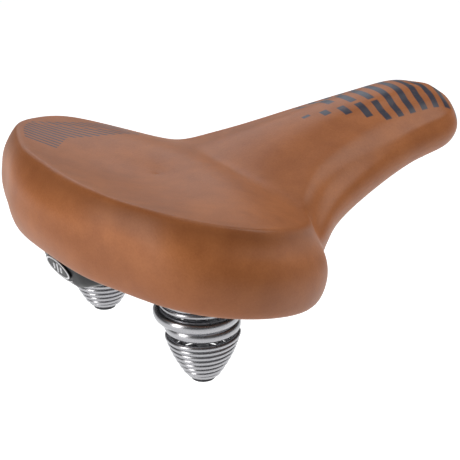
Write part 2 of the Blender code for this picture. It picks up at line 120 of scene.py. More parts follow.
class Socket:
    """A node's output, so that shader maths is written as plain sums."""

    def __init__(self, tree, output):
        self.tree, self.output = tree, output

    def node(self, kind, settings=(), inputs=(), out=0):
        """Adds a node of this type, with its settings made first, and gives one of its outputs."""
        node = self.tree.nodes.new(kind)
        for name, value in dict(settings).items():
            setattr(node, name, value)
        for key, value in dict(inputs).items():
            if isinstance(value, Socket):
                self.tree.links.new(value.output, node.inputs[key])
            else:
                node.inputs[key].default_value = value
        return Socket(self.tree, node.outputs[out])

    def math(self, operation, first, second=0.0):
        return self.node("ShaderNodeMath", {"operation": operation}, {0: first, 1: second})

    def __add__(self, other):
        return self.math("ADD", self, other)

    __radd__ = __add__

    def __sub__(self, other):
        return self.math("SUBTRACT", self, other)

    def __rsub__(self, other):
        return self.math("SUBTRACT", other, self)

    def __mul__(self, other):
        return self.math("MULTIPLY", self, other)

    __rmul__ = __mul__

    def __truediv__(self, other):
        return self.math("DIVIDE", self, other)

    def __mod__(self, other):
        return self.math("MODULO", self, other)

    def __abs__(self):
        return self.math("ABSOLUTE", self)

    def root(self):
        return self.math("SQRT", self)

    def at_least(self, other):
        return self.math("MAXIMUM", self, other)

    def at_most(self, other):
        return self.math("MINIMUM", self, other)

    def over(self, edge, blur=0.3):
        """1 where this value is above an edge and 0 below, with a soft step."""
        return ((self - edge) / (2 * blur) + 0.5).clamped()

    def clamped(self):
        return self.node("ShaderNodeClamp", {}, {"Value": self})

    def mixed(self, low, high):
        """A colour between two, by this value."""
        return self.node("ShaderNodeMix", {"data_type": "RGBA"}, {0: self, 6: low, 7: high}, out=2)


def rgb(colour):
    return (*colour, 1.0)


def start_finish(name, **constants):
    """A new material, its shader, and the object's own coordinates."""
    material = bpy.data.materials.new(name)
    material.use_nodes = True
    tree = material.node_tree
    shader = tree.nodes["Principled BSDF"]
    for socket, value in constants.items():
        shader.inputs[socket.replace("_", " ")].default_value = value
    place = Socket(tree, tree.nodes.new("ShaderNodeTexCoord").outputs["Object"])
    return material, shader, place


def feed(shader, **links):
    for socket, value in links.items():
        value.tree.links.new(value.output, shader.inputs[socket.replace("_", " ")])


def noise(place, scale, detail=3.0, roughness=0.5):
    return place.node("ShaderNodeTexNoise", {}, {"Vector": place, "Scale": scale, "Detail": detail,
                                                 "Roughness": roughness})


def bumped(place, height, strength, depth):
    return place.node("ShaderNodeBump", {}, {"Height": height, "Strength": strength, "Distance": depth})


def axes(place):
    """The object's coordinates as three values in millimetres."""
    split = place.node("ShaderNodeSeparateXYZ", {}, {0: place})
    node = split.output.node
    return [Socket(place.tree, node.outputs[k]) * (1 / MM) for k in range(3)]


NOSE_BAR_X, NOSE_BAR_PITCH, NOSE_BAR_WIDTH = 124.0, 9.9, 4.8  # the foremost printed bar, and the row of them
WING_LINE_PITCH, WING_LINE_WIDTH = 4.0, 1.64
WING_PRINT_DEPTH = 3.35  # how far from the spine towards the ridge the fine lines reach, in the "down" attribute


def nose_print(x, y, z):
    """Curved bars across the nose, whole in front and parted in two towards the rear."""
    bow = ((y * y + 36.0).root() - 6.0) * ((x - 66.0) * 0.0085).clamped()
    along = x + bow
    shifted = along - NOSE_BAR_X + 20.5 * NOSE_BAR_PITCH
    bars = 1.0 - abs(shifted % NOSE_BAR_PITCH - NOSE_BAR_PITCH / 2).over(NOSE_BAR_WIDTH / 2, 0.25)
    step = shifted / NOSE_BAR_PITCH
    bar_x = (step - step % 1.0 - 20.0) * NOSE_BAR_PITCH + NOSE_BAR_X
    back = (75.0 - bar_x).at_least(0.0)
    near = y.over(back * 0.62 - 25.2)
    low_end = 1.0 - y.over(back * 0.30 - 9.7)
    high_start = y.over(back * 0.15 + back * back * 0.02 - 7.4)
    far = 1.0 - y.over(27.6 - back * 0.12)
    whole = bar_x.over(80.0)
    parted = (low_end + high_start + whole).clamped()
    reach = along.over(19.5) * z.over(50.0)
    return bars * near * far * parted * reach


def wing_print(x, y, z):
    """Thin slanting lines on the rear of the left wing, broken into dashes towards its rim."""
    across = x * 0.8 + y * 0.6
    rim = y.over(x * -0.35 + 49.5, 0.2)
    shifted = across + rim * (WING_LINE_PITCH / 2) + 200 * WING_LINE_PITCH
    lines = 1.0 - abs(shifted % WING_LINE_PITCH - WING_LINE_PITCH / 2).over(WING_LINE_WIDTH / 2, 0.15)
    edge = (x * 1.05 + 146.75).at_most(57.0)
    inner = y.over(edge)
    slot = abs(y + x * 0.35 - 49.5).over(0.9, 0.2)
    fade = 1.0 - x.over(-38.0)
    last = across.over(-55.6) * (1.0 - y.over(84.0))
    return lines * inner * slot * fade * last * z.over(48.0)


def vinyl_finish(settings):
    """Tan vinyl with a fine leather grain, soft clouding, painted shade under the ridge and at the skirt's bottom, and
    the printed bars.
    """
    material, shader, place = start_finish("saddle_vinyl", Specular_IOR_Level=0.34)
    x, y, z = axes(place)
    down = place.node("ShaderNodeAttribute", {"attribute_name": "down"}, {}, out=2)
    inset = place.node("ShaderNodeAttribute", {"attribute_name": "rim"}, {}, out=2)
    clouds = noise(place, 26.0, 4.0, 0.55)
    specks = noise(place, 900.0, 2.0)
    tone = (clouds - 0.5) * 1.1 + (noise(place, 90.0, 3.0) - 0.5) * 0.7 + (specks - 0.5) * 0.5 + 0.55
    tan = tone.clamped().mixed(rgb(settings.shade_colour), rgb(settings.tan_colour))
    # Painted shade: a band under the ridge on the rear of the wings, and the skirt's bottom where it tucks under.
    ridge_shade = (1.0 - abs(down - 5.2).over(0.9, 0.8)) * (1.0 - x.over(-12.0, 12.0)) * 0.45
    lower = (down.over(9.0, 1.8) * 0.6 + ridge_shade).clamped()
    # The painted shade is a darker copy of the shade colour, mixed over the vinyl's tone.
    tan = lower.mixed(tan, rgb([c * 0.6 for c in settings.shade_colour]))
    ink_wear = noise(place, 420.0, 2.0).over(0.36, 0.06) * 0.12 + 0.88
    ink = (nose_print(x, y, z) + wing_print(x, y, z) * inset.over(0.5)).clamped() * ink_wear
    grain = place.node("ShaderNodeTexVoronoi", {"feature": "SMOOTH_F1"},
                       {"Vector": place, "Scale": 1000.0 / settings.grain_mm, "Smoothness": 0.6})
    feed(shader,
         Base_Color=ink.mixed(tan, rgb(settings.print_colour)),
         Roughness=0.47 + (clouds - 0.5) * 0.12 - ink * 0.08,
         Normal=bumped(place, grain + noise(place, 700.0, 3.0) * 0.5, 0.16, 0.0003))
    return material


def foam_finish():
    material, shader, place = start_finish("cut_foam", Specular_IOR_Level=0.2)
    cells = place.node("ShaderNodeTexVoronoi", {}, {"Vector": place, "Scale": 900.0})
    tone = noise(place, 60.0).mixed(rgb((0.50, 0.43, 0.30)), rgb((0.66, 0.59, 0.44)))
    feed(shader, Base_Color=tone, Roughness=noise(place, 200.0) * 0.1 + 0.88, Normal=bumped(place, cells, 0.5, 0.0006))
    return material


def plastic_finish(name, colour, roughness, gloss=0.5):
    """Moulded black plastic with a fine spark-eroded texture and faint scuffs."""
    material, shader, place = start_finish(name, Specular_IOR_Level=gloss)
    scuffs = noise(place, 90.0, 4.0)
    tone = scuffs.mixed(rgb(colour), rgb([c * 1.7 for c in colour]))
    feed(shader, Base_Color=tone, Roughness=(scuffs - 0.5) * 0.22 + roughness,
         Normal=bumped(place, noise(place, 2600.0, 2.0), 0.25, 0.00012))
    return material


def metal_finish(name, colour, roughness, streaks, wear=0.0):
    """Plated wire and pressed steel: faint drawing marks and clouded plating."""
    material, shader, place = start_finish(name, Metallic=1.0)
    clouds = noise(place, 70.0, 4.0)
    tone = clouds.mixed(rgb([c * (0.90 - wear) for c in colour]), rgb(colour))
    marks = noise(place, streaks, 2.0)
    feed(shader, Base_Color=tone, Roughness=(clouds - 0.5) * 0.10 + (marks - 0.5) * 0.06 + roughness,
         Normal=bumped(place, marks, 0.05, 0.0001))
    return material


def finish_for(key):
    """The material of this name, made once."""
    if key in bpy.data.materials:
        return bpy.data.materials[key]
    metal = bpy.context.scene.saddle_metal
    makers = {
        "saddle_vinyl": lambda: vinyl_finish(bpy.context.scene.saddle_cover),
        "cut_foam": foam_finish,
        "shell_plastic": lambda: plastic_finish("shell_plastic", (0.016, 0.016, 0.017), 0.55),
        "bumper_plastic": lambda: plastic_finish("bumper_plastic", (0.006, 0.006, 0.007), 0.42, 0.25),
        "cap_plastic": lambda: plastic_finish("cap_plastic", (0.022, 0.022, 0.026), 0.40, 0.3),
        "bright_chrome": lambda: metal_finish("bright_chrome", metal.chrome_colour, metal.chrome_roughness, 1400.0),
        "dull_zinc": lambda: metal_finish("dull_zinc", (0.56, 0.57, 0.60), 0.34, 900.0, 0.12),
        "pale_print": lambda: plastic_finish("pale_print", (0.42, 0.42, 0.44), 0.3),
    }
    return makers[key]()


# ---- helpers for the pieces -----------------------------------------------------------------------


def deselect():
    bpy.ops.object.select_all(action="DESELECT")


def take(obj):
    """Makes this the only selected object and the active one."""
    deselect()
    obj.select_set(True)
    bpy.context.view_layer.objects.active = obj
    return obj


def settle(obj, name):
    """Names the piece and puts its place, turn and size into its mesh."""
    take(obj)
    obj.name = obj.data.name = name
    bpy.ops.object.transform_apply(location=True, rotation=True, scale=True)
    return obj


def edit(obj, *steps):
    """Runs steps in edit mode, with everything selected before each."""
    take(obj)
    bpy.ops.object.mode_set(mode="EDIT")
    for step in steps:
        bpy.ops.mesh.select_all(action="SELECT")
        step()
    bpy.ops.object.mode_set(mode="OBJECT")
    return obj


def pick(obj, faces):
    """Selects the faces that pass a test and opens edit mode."""
    take(obj)
    bpy.ops.object.mode_set(mode="EDIT")
    bpy.ops.mesh.select_all(action="DESELECT")
    bpy.ops.mesh.select_mode(type="FACE")
    bpy.ops.object.mode_set(mode="OBJECT")
    for face in obj.data.polygons:
        face.select = faces(face)
    bpy.ops.object.mode_set(mode="EDIT")


def leave_edit():
    bpy.ops.object.mode_set(mode="OBJECT")


def smooth(obj, degrees=35.0):
    take(obj)
    bpy.ops.object.shade_smooth_by_angle(angle=math.radians(degrees))
    return obj


def apply_modifier(obj, kind, **settings):
    modifier = obj.modifiers.new(kind.title(), kind)
    for name, value in settings.items():
        setattr(modifier, name, value)
    take(obj)
    bpy.ops.object.modifier_apply(modifier=modifier.name)
    return obj


def dress(obj, finish, slot, body, *nodes):
    """Gives a piece its finish, hangs it on its body's empty and hides the CAD nodes it stands for."""
    obj.data.materials.clear()
    obj.data.materials.append(finish_for(finish))
    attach(obj, body)
    if nodes:
        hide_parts(*nodes)
    return obj


def repaint(finish, *nodes):
    """A better finish on CAD nodes whose shape stays."""
    for node in nodes:
        obj = frame["nodes"][node]
        for slot in obj.material_slots:
            slot.material = finish_for(finish)
        if not obj.material_slots:
            obj.data.materials.append(finish_for(finish))


def tube(name, points, diameter, sides=16):
    """A round wire along a line of points, its cut ends slightly rounded."""
    curve = bpy.data.curves.new(name, "CURVE")
    curve.dimensions = "3D"
    curve.twist_mode = "MINIMUM"
    curve.bevel_depth = diameter / 2 * MM
    curve.bevel_resolution = sides // 2 - 2
    curve.use_fill_caps = True
    points = np.asarray(points, float)
    first, last = (end + (end - inner) / np.linalg.norm(end - inner) * diameter * TIP_LENGTH
                   for end, inner in ((points[0], points[1]), (points[-1], points[-2])))
    points = np.vstack([first, points, last])
    spline = curve.splines.new("POLY")
    spline.points.add(len(points) - 1)
    for point, place in zip(spline.points, points):
        point.co, point.radius = (*(place * MM), 1), 1.0
    spline.points[0].radius = spline.points[-1].radius = TIP_WIDTH
    obj = bpy.data.objects.new(name, curve)
    bpy.context.scene.collection.objects.link(obj)
    take(obj)
    bpy.ops.object.convert(target="MESH")
    obj = bpy.context.active_object
    edit(obj, lambda: bpy.ops.mesh.remove_doubles(threshold=1e-6),
         lambda: bpy.ops.mesh.normals_make_consistent(inside=False))
    obj.name = obj.data.name = name
    return smooth(obj, 40)


def between(a, b, c, d, u):
    """The place at share u of the way from b to c, on a smooth line through all four."""
    return 0.5 * (2 * b + (c - a) * u + (2 * a - 5 * b + 4 * c - d) * u**2 + (3 * b - a - 3 * c + d) * u**3)


def catmull_rom(points, steps):
    """A smooth line through points, with steps between each two."""
    p = np.asarray(points, float)
    p = np.vstack([2 * p[0] - p[1], p, 2 * p[-1] - p[-2]])
    made = []
    for a, b, c, d in zip(p, p[1:], p[2:], p[3:]):
        made += [between(a, b, c, d, u) for u in np.arange(steps) / steps]
    return np.array(made + [p[-2]])


# ---- the body's surfaces --------------------------------------------------------------------------


def ribs():
    """Smoothly blended stations right round the outline, with y signed: right side first."""
    right = STATIONS.copy()
    right[:, 1] *= -1
    left = STATIONS[-2:0:-1]
    rows = np.vstack([right, left])
    u = (np.arange(RIBS_PER_STATION) / RIBS_PER_STATION)[None, :, None]
    a, b, c, d = (np.roll(rows, -k, 0)[:, None] for k in (-1, 0, 1, 2))
    fine = between(a, b, c, d, u).reshape(-1, rows.shape[1])
    for _ in range(RIBS_PER_STATION):
        fine = (np.roll(fine, 1, 0) + 2 * fine + np.roll(fine, -1, 0)) / 4
    return fine


def cover_controls(rows):
    """Inset from the outline and height, from the spine over the ridge and down the skirt to its lip."""
    x, y, spine_x, spine_z, inset, ridge_z, soft, hollow, bottom_z = rows.T
    length = np.hypot(x - spine_x, y)
    full = 3.0 * np.clip((-75 - x) / 40, 0, 1) + 2.6 * np.clip((x - 10) / 60, 0, 1)
    top, rise, drop = length - inset, ridge_z - spine_z, ridge_z - bottom_z
    return np.array([
        (length + 0.4 * top, spine_z + 0.05 * rise),
        (length, spine_z),
        (length - 0.4 * top, spine_z + 0.05 * rise),
        (inset + (0.3 + 0.035 * soft) * top, spine_z + (0.45 - 0.02 * soft) * rise),
        (inset + np.minimum(soft + 3, 0.38 * top), spine_z + (0.98 - 0.045 * soft) * rise - 0.3),
        (inset + 0.25 * soft, ridge_z + 0.4),
        (inset - 0.6 * soft - 0.6 - 0.4 * full, ridge_z - 1.4 - 0.6 * soft),
        (inset - 5 + hollow - 0.14 * soft - full, ridge_z - 0.16 * drop - 0.45 * soft),
        (5.5 - 0.5 * hollow - 0.1 * soft - 1.2 * full, ridge_z - 0.32 * drop - 0.2 * soft),
        (0.2 + 0 * x, ridge_z - 0.47 * drop),
        (-1.4 + 0 * x, ridge_z - 0.68 * drop),
        (2.0 + 0 * x, bottom_z + 2),
        (6.0 + 0 * x, bottom_z - 1),
        (11.0 + 0 * x, bottom_z + 1),
        (16.0 + 0 * x, bottom_z + 3),
    ]).transpose(2, 0, 1)


def base_controls(rows):
    """The shell's outer side under the foam, from the spine to its rim."""
    x, y, spine_x, spine_z, _, ridge_z, _, _, bottom_z = rows.T
    length = np.hypot(x - spine_x, y)
    top_z = spine_z - FOAM_AT_SPINE
    side_z = (ridge_z + bottom_z) / 2
    return np.array([
        (length + 0.4 * (length - 24), top_z),
        (length, top_z),
        (length - 0.4 * (length - 24), top_z),
        (24 + 0.3 * (length - 24), (top_z + 2 * side_z) / 3),
        (17 + 0 * x, side_z),
        (10 + 0 * x, side_z - 1.5),
        (7 + 0 * x, side_z - 6),
        (6.5 + 0 * x, (side_z + bottom_z) / 2),
        (6.5 + 0 * x, bottom_z + 8),
        (6.5 + 0 * x, bottom_z + 4.6),
        (6.5 + 0 * x, bottom_z + 1.2),
    ]).transpose(2, 0, 1)


def body_grid(controls_of, depth, places):
    """Points of one surface, a row of points for each rib."""
    rows = ribs()
    controls = controls_of(rows)
    along = np.gradient(controls, axis=1)
    normal = np.stack([-along[..., 1], along[..., 0]], -1)
    moved = controls + depth * normal / np.linalg.norm(normal, axis=-1, keepdims=True)
    moved[:, 0] = np.stack([2 * controls[:, 1, 0] - moved[:, 2, 0], moved[:, 2, 1]], -1)
    places = np.asarray(places, float)
    k = np.minimum(places.astype(int), controls.shape[1] - 4)
    u = places - k
    weights = np.stack([(1 - u)**3, 3 * u**3 - 6 * u**2 + 4, 3 * u + 3 * u**2 - 3 * u**3 + 1, u**3]) / 6
    line = sum(weights[i][None, :, None] * moved[:, k + i] for i in range(4))
    x, y, spine_x = rows[:, 0], rows[:, 1], rows[:, 2]
    length = np.hypot(x - spine_x, y)
    inset = line[..., 0]
    return np.stack([x[:, None] + ((spine_x - x) / length)[:, None] * inset,
                     y[:, None] - (y / length)[:, None] * inset,
                     line[..., 1]], -1)


def layer(name, outer, inner, downs=None):
    """A closed layer between two surfaces, joined along their rims."""
    columns = np.concatenate([outer, inner[:, ::-1]], 1)
    count, rows = columns.shape[:2]
    index = np.arange(count * rows).reshape(count, rows)
    following = np.roll(index, -1, 0)
    faces = np.stack([index[:, :-1], following[:, :-1], following[:, 1:], index[:, 1:]], -1).reshape(-1, 4)
    mesh = bpy.data.meshes.new(name)
    mesh.from_pydata((columns.reshape(-1, 3) * MM).tolist(), [], faces.tolist())
    if downs is not None:
        both = np.concatenate([downs, downs[::-1]])
        mesh.attributes.new("down", "FLOAT", "POINT").data.foreach_set("value", np.tile(both, count))
        rim = np.tile(((both > 0) & (both < WING_PRINT_DEPTH)).astype(float), count)
        mesh.attributes.new("rim", "FLOAT", "POINT").data.foreach_set("value", rim)
    obj = bpy.data.objects.new(name, mesh)
    bpy.context.scene.collection.objects.link(obj)
    edit(obj, lambda: bpy.ops.mesh.remove_doubles(threshold=2e-6),
         lambda: bpy.ops.mesh.dissolve_degenerate(threshold=1e-6),
         lambda: bpy.ops.mesh.normals_make_consistent(inside=False))
    return smooth(obj, 60)


# ---- settings -------------------------------------------------------------------------------------


class SaddleCoverSettings(bpy.types.PropertyGroup):
    """Colours and grain of the cover."""

    tan_colour: bpy.props.FloatVectorProperty(
        name="Tan", description="Lighter tone of the vinyl", subtype="COLOR", size=3, min=0, max=1,
        default=(0.47, 0.163, 0.050))
    shade_colour: bpy.props.FloatVectorProperty(
        name="Tan shade", description="Darker tone of the vinyl's clouding", subtype="COLOR", size=3, min=0, max=1,
        default=(0.27, 0.080, 0.020))
    print_colour: bpy.props.FloatVectorProperty(
        name="Print", description="Ink of the printed bars", subtype="COLOR", size=3, min=0, max=1,
        default=(0.040, 0.040, 0.060))
    grain_mm: bpy.props.FloatProperty(
        name="Grain", description="Width of one cell of the leather grain in millimetres", default=0.9, min=0.2, max=5)


class SaddleMetalSettings(bpy.types.PropertyGroup):
    """Wire sizes and plating."""

    rail_wire: bpy.props.FloatProperty(
        name="Rail wire", description="Diameter of the rail wire in millimetres", default=7.0, min=5, max=9)
    upper_wire: bpy.props.FloatProperty(
        name="Upper spring wire", description="Diameter of the upper springs' wire in millimetres", default=3.1,
        min=2, max=5)
    lower_wire: bpy.props.FloatProperty(
        name="Lower spring wire", description="Diameter of the lower springs' wire in millimetres", default=3.1,
        min=2, max=5)
    chrome_colour: bpy.props.FloatVectorProperty(
        name="Chrome", description="Colour of the plating", subtype="COLOR", size=3, min=0, max=1,
        default=(0.40, 0.40, 0.42))
    chrome_roughness: bpy.props.FloatProperty(
        name="Chrome roughness", description="How cloudy the plating is", default=0.27, min=0, max=1,
        subtype="FACTOR")


class SaddleStageSettings(bpy.types.PropertyGroup):
    """Camera, floor and lights."""

    heading: bpy.props.FloatProperty(
        name="Heading", description="Direction the camera looks in, from +X towards +Y", subtype="ANGLE",
        default=math.radians(56.4))
    elevation: bpy.props.FloatProperty(
        name="Elevation", description="How far the camera looks down", subtype="ANGLE", default=math.radians(24.0))
    roll: bpy.props.FloatProperty(
        name="Roll", description="Turn of the camera about its view", subtype="ANGLE", default=math.radians(0.9))
    focal_mm: bpy.props.FloatProperty(
        name="Focal length", description="Lens of the camera in millimetres on a 36 mm sensor", default=132.65,
        min=10, max=300)
    floor_drop: bpy.props.FloatProperty(
        name="Floor drop", description="Distance from the lowest point of the object to the floor", subtype="DISTANCE",
        default=0.22, min=0)


# ---- operators ------------------------------------------------------------------------------------


class SADDLE_OT_cover(bpy.types.Operator):
    """Models the moulded vinyl cover with its ridge, dished top, skirt and turned-in lip"""

    bl_idname = "saddle.cover"
    bl_label = "Cover"

    def execute(self, context):
        places = np.concatenate([np.arange(0, 3, 0.25), np.arange(3, 5.6, 0.1), np.arange(5.6, 12.01, 0.2)])
        cover = layer("moulded_cover", body_grid(cover_controls, 0, places), body_grid(cover_controls, COVER_T, places),
                      places)
        self.calm_spine(cover)
        dress(cover, "saddle_vinyl", "tan_vinyl", "seat", "cover")
        return {"FINISHED"}

    @staticmethod
    def calm_spine(cover):
        """Evens out the fan of ribs along the spine, where they meet."""
        group = cover.vertex_groups.new(name="spine")
        downs = cover.data.attributes["down"].data
        for k, value in enumerate(downs):
            if value.value < 3.4:
                group.add([k], min(1.0, (3.4 - value.value) / 1.2), "REPLACE")
        apply_modifier(cover, "SMOOTH", factor=0.5, iterations=60, vertex_group="spine")
        cover.vertex_groups.clear()


class SADDLE_OT_padding(bpy.types.Operator):
    """Models the foam between the shell and the cover"""

    bl_idname = "saddle.padding"
    bl_label = "Foam padding"

    def execute(self, context):
        outer = body_grid(cover_controls, COVER_T + GAP, np.arange(0, 9.01, 0.3))
        inner = body_grid(base_controls, -GAP, np.arange(0, 8.01, 0.25))
        padding = layer("foam_padding", outer, inner)
        dress(padding, "cut_foam", "foam", "seat", "padding")
        return {"FINISHED"}


class SADDLE_OT_base_shell(bpy.types.Operator):
    """Gives the stiff shell its moulded plastic finish"""

    bl_idname = "saddle.base_shell"
    bl_label = "Base shell"

    def execute(self, context):
        repaint("shell_plastic", "base_shell")
        return {"FINISHED"}


CONE_TOP_Z, CONE_END_Z = -12.6, -34.9
LOWER_TURNS = 7.0


def loop_path():
    """The right loop of the rail, from its arrival on the inner side to its lower end."""
    degrees = np.arange(90, 691, 5)
    a = np.radians(degrees)
    r = np.interp(degrees, (90, 146, 236, 326, 690), (23.0, 22.0, 20.6, 16.7, 16.7))
    share = np.clip((degrees - 330) / 150, 0, 1)
    z = -7.3 * share * share * (3 - 2 * share)
    return np.stack([SPRING_X + r * np.cos(a), -SPRING_Y + r * np.sin(a), z], -1)


def rail_path():
    """The whole wire: right loop's end, right rail, nose bend, and the same mirrored."""
    pivot_x, pivot_z = (frame["joints"][0]["pos_m"][k] / MM for k in (0, 2))
    run = [(-54, -27.6, 0), (-42, -24.2, 0), (-34, -22.5, 0), (-28, -22, 0), (-14, -22, 0), (0, -22, 0),
           (10, -22, 0), (20, -22, 0), (26, -21.7, 1.4), (32, -20.8, 6), (40, -19.3, 14), (48, -17.7, 22),
           (56, -15.9, 29.4), (pivot_x - 30, -13.5, pivot_z - 4), (pivot_x - 16, -12, pivot_z)]
    bend = [(pivot_x - 12 + 12 * math.cos(a), 12 * math.sin(a), pivot_z)
            for a in np.radians(np.arange(-90, 91, 15))]
    loop = loop_path()[::-1]
    front = run + bend + [(x, -y, z) for x, y, z in run[::-1]]
    line = catmull_rom([loop[-2], loop[-1]] + front + [loop[-1] * (1, -1, 1), loop[-2] * (1, -1, 1)], 4)[4:-4]
    return np.vstack([loop[:-1], line, (loop[:-1] * (1, -1, 1))[::-1]])


class SADDLE_OT_rail(bpy.types.Operator):
    """Models the one-piece rail: two loops under the tail, two straight rails and the bend at the nose"""

    bl_idname = "saddle.rail"
    bl_label = "Rail wire"

    def execute(self, context):
        rail = tube("rail_wire", rail_path(), context.scene.saddle_metal.rail_wire, 24)
        dress(rail, "bright_chrome", "chrome", "rail_frame", "rail")
        return {"FINISHED"}


def helix(side, turns, radius_of, height_of, start):
    share = np.arange(int(turns * 40) + 1) / 40
    a = math.radians(start) + math.tau * share
    r = radius_of(share)
    return np.stack([SPRING_X + r * np.cos(a), side * SPRING_Y + r * np.sin(a), height_of(share)], -1)


class SADDLE_OT_springs(bpy.types.Operator):
    """Models the flaring upper springs and the narrowing lower springs"""

    bl_idname = "saddle.springs"
    bl_label = "Coil springs"

    def execute(self, context):
        metal = context.scene.saddle_metal
        low = metal.rail_wire / 2 + metal.upper_wire / 2 + GAP
        pitch = (24.0 - low) / 5
        for side, end in SIDES:
            line = helix(side, 5.0, lambda t: 20.7 + 1.0 * t, lambda t: low + pitch * t, 150)
            upper = tube("upper_coil_" + end, line, metal.upper_wire, 16)
            self.finish(upper, side, "upper_spring_" + end, 3.8, 26.0)
            line = helix(side, 7.75, self.cone_radius, self.cone_height, 60)
            lower = tube("lower_coil_" + end, line, metal.lower_wire, 16)
            self.finish(lower, side, "lower_spring_" + end, -10.8, -36.9)
        return {"FINISHED"}

    @staticmethod
    def cone_radius(t):
        share = (t - 0.75) / LOWER_TURNS
        return np.where(t < 0.75, 7.2 + 1.1 * t / 0.75, 8.3 + 10.3 * share + 1.1 * np.sin(math.pi * share))

    @staticmethod
    def cone_height(t):
        rise = (CONE_TOP_Z - CONE_END_Z) / LOWER_TURNS
        return np.where(t < 0.75, CONE_END_Z - 0.5 * (0.75 - t) / 0.75, CONE_END_Z + rise * (t - 0.75))

    @staticmethod
    def finish(coil, side, node, fixed_z, moving_z):
        coil.data.materials.clear()
        coil.data.materials.append(finish_for("bright_chrome"))
        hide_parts(node)
        side * SPRING_Y * MM
        side * SPRING_Y * MM
        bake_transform(coil)


def disc(name, side, radius, low, high, vertices=64):
    """A short cylinder on one spring's axis."""
    deselect()
    bpy.ops.mesh.primitive_cylinder_add(vertices=vertices, radius=radius * MM, depth=(high - low) * MM,
                                        location=(SPRING_X * MM, side * SPRING_Y * MM, (low + high) / 2 * MM))
    return settle(bpy.context.active_object, name)


class SADDLE_OT_spring_hardware(bpy.types.Operator):
    """Models the spring seat plates, bottom caps and through bolts"""

    bl_idname = "saddle.spring_hardware"
    bl_label = "Spring hardware"

    def execute(self, context):
        for side, end in SIDES:
            self.make_plate(side, end)
            self.make_cap(side, end)
            self.make_bolt(side, end)
        repaint("dull_zinc", "top_washer_left", "top_washer_right", "lock_nut_left", "lock_nut_right")
        return {"FINISHED"}

    @staticmethod
    def make_plate(side, end):
        low, high = (corner.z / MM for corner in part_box("spring_seat_" + end))
        plate = disc("spring_plate_" + end, side, 27.0, low, high)
        pick(plate, faces=lambda f: f.normal.z < -0.9)
        bpy.ops.mesh.inset(thickness=3.5 * MM)
        bpy.ops.mesh.inset(thickness=1.6 * MM)
        bpy.ops.transform.translate(value=(0, 0, 0.8 * MM))
        leave_edit()
        apply_modifier(plate, "BEVEL", width=0.45 * MM, segments=3, limit_method="ANGLE")
        dress(smooth(plate), "dull_zinc", "zinc", "seat", "spring_seat_" + end)

    @staticmethod
    def make_cap(side, end):
        low, high = (corner.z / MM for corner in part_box("bottom_cap_" + end))
        cap = disc("bottom_cup_" + end, side, 6.4, low, high)
        pick(cap, faces=lambda f: f.normal.z < -0.9)
        bpy.ops.mesh.inset(thickness=1.5 * MM)
        bpy.ops.mesh.inset(thickness=0.5 * MM)
        bpy.ops.transform.translate(value=(0, 0, 0.9 * MM))
        leave_edit()
        apply_modifier(cap, "BEVEL", width=0.5 * MM, segments=4, limit_method="ANGLE")
        dress(smooth(cap), "cap_plastic", "black_plastic", "seat", "bottom_cap_" + end)

    @staticmethod
    def make_bolt(side, end):
        low, high = (corner.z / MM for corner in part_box("spring_bolt_" + end))
        bolt = disc("through_bolt_" + end, side, 3.0, low + 1.4, high, 32)
        pick(bolt, faces=lambda f: f.normal.z < -0.9)
        bpy.ops.mesh.extrude_region_move(TRANSFORM_OT_translate={"value": (0, 0, -0.1 * MM)})
        bpy.ops.transform.resize(value=(1.6, 1.6, 1), center_override=(SPRING_X * MM, side * SPRING_Y * MM, low * MM))
        bpy.ops.mesh.extrude_region_move(TRANSFORM_OT_translate={"value": (0, 0, -1.2 * MM)})
        bpy.ops.mesh.inset(thickness=2.0 * MM)
        bpy.ops.transform.translate(value=(0, 0, 0.7 * MM))
        leave_edit()
        apply_modifier(bolt, "BEVEL", width=0.25 * MM, segments=2, limit_method="ANGLE")
        dress(smooth(bolt), "dull_zinc", "zinc", "seat", "spring_bolt_" + end)


# The tail piece: its rear face, and how far it falls back and rises at each distance from the middle
FACE_X, FACE_Z, FACE_SLOPE = -124.1, 19.8, 2.75
BUMPER_SECTIONS = ((0, 0, 0), (11, 0, 1.2), (18, 1.5, 4), (24, 4, 6.8), (30, 7.5, 9.5), (34, 10.5, 11))


def face_x(z):
    """Where the tail piece's rear face is at a height, in the middle."""
    return FACE_X - (z - FACE_Z) / FACE_SLOPE


class SADDLE_OT_bumper(bpy.types.Operator):
    """Models the curved black tail piece under the skirt"""

    bl_idname = "saddle.bumper"
    bl_label = "Tail piece"

    def execute(self, context):
        reach = np.arange(-34, 34.1, 2.0)
        section_y, section_ahead, section_rise = np.array(BUMPER_SECTIONS).T
        forward = np.interp(abs(reach), section_y, section_ahead)
        rise = np.interp(abs(reach), section_y, section_rise)
        rings = []
        for y, ahead, up in zip(reach, forward, rise):
            top, low = 28.8 - 0.06 * abs(y), 8.2 + up
            knee_x = face_x(low + 4) + ahead
            ring = [(face_x(top) + ahead, top), (knee_x, low + 4), (knee_x + 2.5, low + 1.1), (knee_x + 8, low),
                    (-98, low), (-98, 21.7), (-111, 21.7), (-112, top)]
            rings.append([(x, y, z) for x, z in ring])
        points = np.array(rings)
        count, around = points.shape[:2]
        index = np.arange(count * around).reshape(count, around)
        beside = np.roll(index, -1, 1)
        faces = np.stack([index[:-1], index[1:], beside[1:], beside[:-1]], -1).reshape(-1, 4).tolist()
        faces += [index[0].tolist(), index[-1][::-1].tolist()]
        mesh = bpy.data.meshes.new("tail_piece")
        mesh.from_pydata((points.reshape(-1, 3) * MM).tolist(), [], faces)
        bumper = bpy.data.objects.new("tail_piece", mesh)
        bpy.context.scene.collection.objects.link(bumper)
        edit(bumper, lambda: bpy.ops.mesh.normals_make_consistent(inside=False))
        apply_modifier(bumper, "BEVEL", width=1.0 * MM, segments=4, limit_method="ANGLE",
                       angle_limit=math.radians(24))
        dress(smooth(bumper, 30), "bumper_plastic", "black_plastic", "seat", "rear_bumper")
        return {"FINISHED"}


